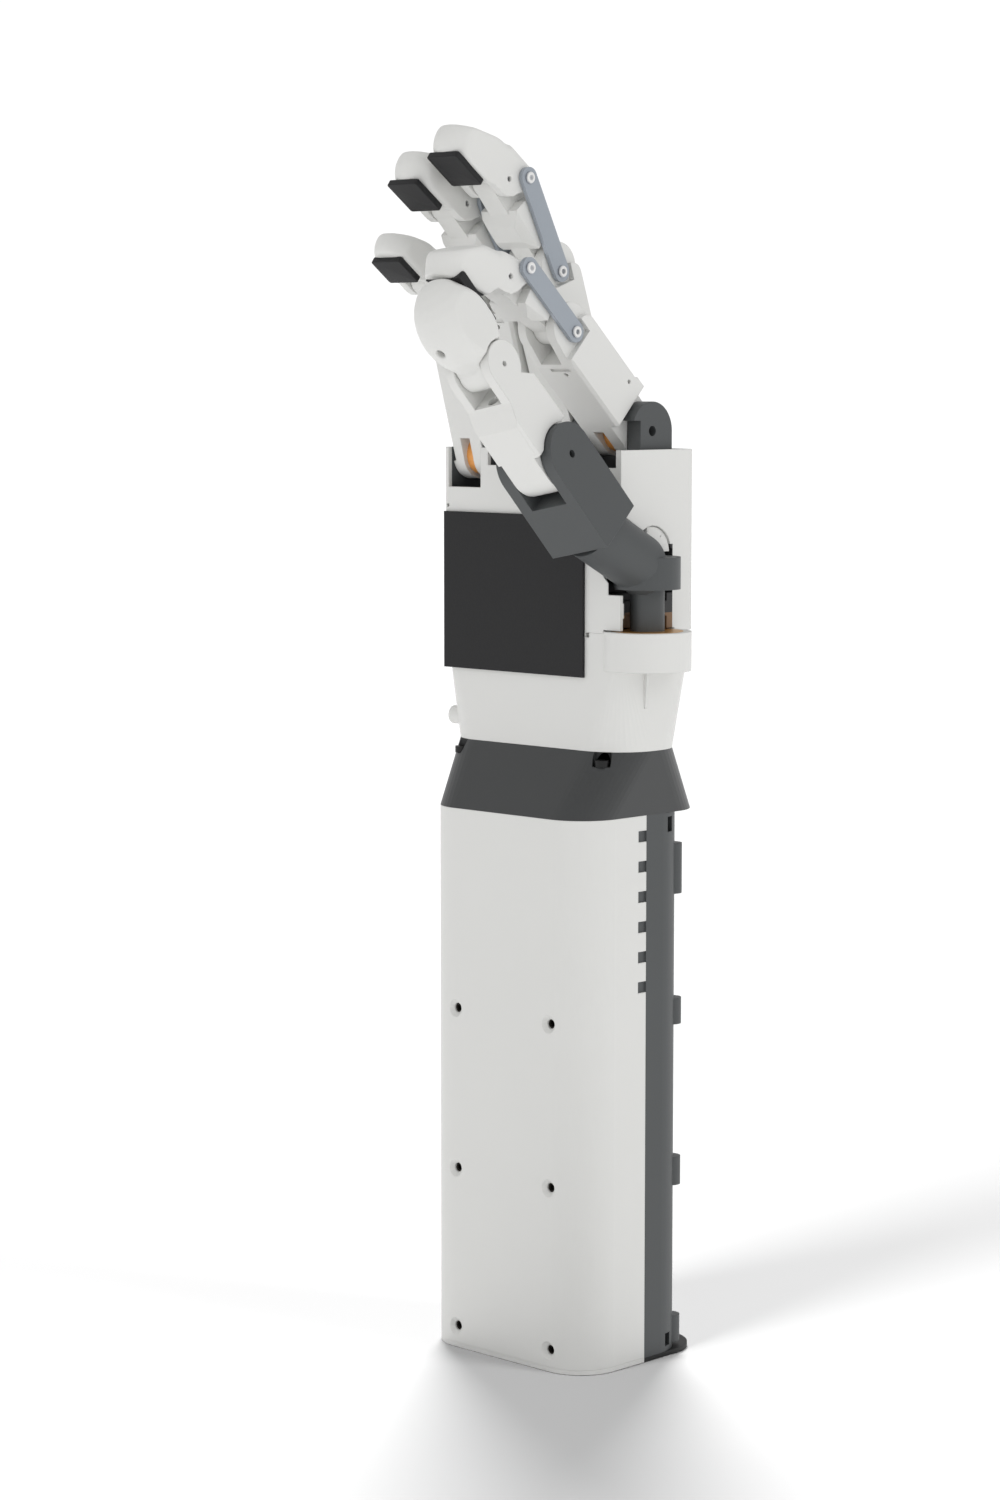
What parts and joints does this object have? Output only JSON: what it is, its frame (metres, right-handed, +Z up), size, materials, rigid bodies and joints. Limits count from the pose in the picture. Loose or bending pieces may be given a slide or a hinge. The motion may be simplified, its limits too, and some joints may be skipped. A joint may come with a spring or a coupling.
{
  "type": "robot hand",
  "caption": "Right robot hand on a box forearm, with jointed fingers that curl through side links, a turning thumb, grip pads, motors inside and a bolt-down base plate",
  "frame": {"origin": "middle of the base plate's underside", "axes": "+Z runs up the forearm to the fingertips, -Y is the palm side, +X is the thumb and index side"},
  "size_m": [0.098, 0.1272, 0.4096],
  "materials": {
    "white_plastic": "matte moulded plastic, light satin",
    "dark_plastic": "dark grey moulded plastic",
    "black_plate": "black sheet",
    "pad_rubber": "soft black grip pad",
    "link_steel": "brushed sheet steel",
    "pin_steel": "ground steel pins and rivets",
    "brass": "brass",
    "orange_plastic": "orange moulded plastic",
    "motor_can": "plain aluminium can",
    "board": "green circuit board",
    "screw": "black screws"
  },
  "bodies": {
    "forearm": {"base_plate": "black_plate", "forearm_shell": "white_plastic", "forearm_frame": "dark_plastic", "shell_inserts": "brass", "motor_carrier": "dark_plastic", "motors": "motor_can", "driver_board": "board", "wrist_collar": "dark_plastic", "collar_screws": "screw", "palm_base": "white_plastic", "palm_body": "white_plastic", "palm_pad": "pad_rubber", "knuckle_frame": "dark_plastic", "knuckle_pins": "pin_steel", "thumb_bearing": "brass"},
    "thumb_root": {"thumb_base": "dark_plastic", "thumb_lower_pin": "pin_steel"},
    "thumb_lower": {"thumb_proximal": "white_plastic", "thumb_pulley": "orange_plastic", "thumb_upper_pin": "pin_steel"},
    "thumb_end": {"thumb_distal": "white_plastic", "thumb_pad": "pad_rubber"},
    "index_lower": {"index_proximal": "white_plastic", "index_pulley": "orange_plastic", "index_lower_pins": "pin_steel"},
    "index_mid": {"index_middle": "white_plastic"},
    "index_end": {"index_distal": "white_plastic", "index_pad": "pad_rubber", "index_upper_pins": "pin_steel"},
    "index_rod": {"index_link": "link_steel"},
    "middle_lower": {"middle_proximal": "white_plastic", "middle_pulley": "orange_plastic", "middle_lower_pins": "pin_steel"},
    "middle_mid": {"middle_middle": "white_plastic"},
    "middle_end": {"middle_distal": "white_plastic", "middle_pad": "pad_rubber", "middle_upper_pins": "pin_steel"},
    "middle_rod": {"middle_link": "link_steel"},
    "ring_lower": {"ring_proximal": "white_plastic", "ring_pulley": "orange_plastic", "ring_lower_pins": "pin_steel"},
    "ring_mid": {"ring_middle": "white_plastic"},
    "ring_end": {"ring_distal": "white_plastic", "ring_pad": "pad_rubber", "ring_upper_pins": "pin_steel"},
    "ring_rod": {"ring_link": "link_steel"},
    "little_lower": {"little_proximal": "white_plastic", "little_pulley": "orange_plastic", "little_lower_pins": "pin_steel"},
    "little_mid": {"little_middle": "white_plastic"},
    "little_end": {"little_distal": "white_plastic", "little_pad": "pad_rubber", "little_upper_pins": "pin_steel"},
    "little_rod": {"little_link": "link_steel"}
  },
  "joints": [
    {"name": "thumb_turn", "type": "hinge", "parent": "forearm", "child": "thumb_root", "pos_m": [0.042, -0.0055, 0.25], "axis": [0, 0, 1], "range_deg": [0, 75]},
    {"name": "thumb_lower_bend", "type": "hinge", "parent": "thumb_root", "child": "thumb_lower", "pos_m": [0.03746, -0.04938, 0.30338], "axis": [0.9801, 0.0567, 0.1905], "range_deg": [0, 40]},
    {"name": "thumb_end_bend", "type": "hinge", "parent": "thumb_lower", "child": "thumb_end", "pos_m": [0.03325, -0.0729, 0.33205], "axis": [0.9801, 0.0567, 0.1905], "range_deg": [0, 20]},
    {"name": "index_knuckle", "type": "hinge", "parent": "forearm", "child": "index_lower", "pos_m": [0.02535, 0.0002, 0.312], "axis": [1, 0, 0], "range_deg": [-57, 0]},
    {"name": "index_bend", "type": "hinge", "parent": "index_lower", "child": "index_mid", "pos_m": [0.02535, -0.03229, 0.34649], "axis": [1, 0, 0], "range_deg": [-16, 0]},
    {"name": "index_curl", "type": "hinge", "parent": "index_mid", "child": "index_end", "pos_m": [0.02535, -0.06113, 0.36106], "axis": [1, 0, 0], "range_deg": [-6.18, 0.5]},
    {"name": "index_rod_swing", "type": "hinge", "parent": "index_lower", "child": "index_rod", "pos_m": [0.02535, -0.03306, 0.34392], "axis": [1, 0, 0], "range_deg": [-15.7, 0.5]},
    {"name": "middle_knuckle", "type": "hinge", "parent": "forearm", "child": "middle_lower", "pos_m": [0.00678, -0.0028, 0.312], "axis": [1, 0, 0], "range_deg": [-29, 66]},
    {"name": "middle_bend", "type": "hinge", "parent": "middle_lower", "child": "middle_mid", "pos_m": [0.00678, -0.01819, 0.36561], "axis": [1, 0, 0], "range_deg": [-23, 46]},
    {"name": "middle_curl", "type": "hinge", "parent": "middle_mid", "child": "middle_end", "pos_m": [0.00678, -0.0426, 0.39262], "axis": [1, 0, 0], "range_deg": [-7.98, 15.45]},
    {"name": "middle_rod_swing", "type": "hinge", "parent": "middle_lower", "child": "middle_rod", "pos_m": [0.00678, -0.02007, 0.36369], "axis": [1, 0, 0], "range_deg": [-22.81, 45.12]},
    {"name": "ring_knuckle", "type": "hinge", "parent": "forearm", "child": "ring_lower", "pos_m": [-0.01179, -0.005, 0.3095], "axis": [1, 0, 0], "range_deg": [-27, 68]},
    {"name": "ring_bend", "type": "hinge", "parent": "ring_lower", "child": "ring_mid", "pos_m": [-0.01179, -0.01758, 0.36055], "axis": [1, 0, 0], "range_deg": [-28, 44]},
    {"name": "ring_curl", "type": "hinge", "parent": "ring_mid", "child": "ring_end", "pos_m": [-0.01179, -0.04306, 0.38542], "axis": [1, 0, 0], "range_deg": [-9.74, 15.02]},
    {"name": "ring_rod_swing", "type": "hinge", "parent": "ring_lower", "child": "ring_rod", "pos_m": [-0.01179, -0.01952, 0.3587], "axis": [1, 0, 0], "range_deg": [-27.52, 42.96]},
    {"name": "little_knuckle", "type": "hinge", "parent": "forearm", "child": "little_lower", "pos_m": [-0.03036, -0.0072, 0.3035], "axis": [1, 0, 0], "range_deg": [-26, 69]},
    {"name": "little_bend", "type": "hinge", "parent": "little_lower", "child": "little_mid", "pos_m": [-0.03036, -0.01544, 0.34275], "axis": [1, 0, 0], "range_deg": [-28, 44]},
    {"name": "little_curl", "type": "hinge", "parent": "little_mid", "child": "little_end", "pos_m": [-0.03036, -0.03419, 0.36217], "axis": [1, 0, 0], "range_deg": [-9.18, 14.14]},
    {"name": "little_rod_swing", "type": "hinge", "parent": "little_lower", "child": "little_rod", "pos_m": [-0.03036, -0.01741, 0.34093], "axis": [1, 0, 0], "range_deg": [-27.24, 42.52]}
  ],
  "couplings": [
    {"joint": "index_curl", "follows": "index_bend", "ratio": 0.355},
    {"joint": "index_rod_swing", "follows": "index_bend", "ratio": 0.95},
    {"joint": "middle_curl", "follows": "middle_bend", "ratio": 0.325},
    {"joint": "middle_rod_swing", "follows": "middle_bend", "ratio": 0.97},
    {"joint": "ring_curl", "follows": "ring_bend", "ratio": 0.33},
    {"joint": "ring_rod_swing", "follows": "ring_bend", "ratio": 0.965},
    {"joint": "little_curl", "follows": "little_bend", "ratio": 0.31},
    {"joint": "little_rod_swing", "follows": "little_bend", "ratio": 0.955}
  ]
}
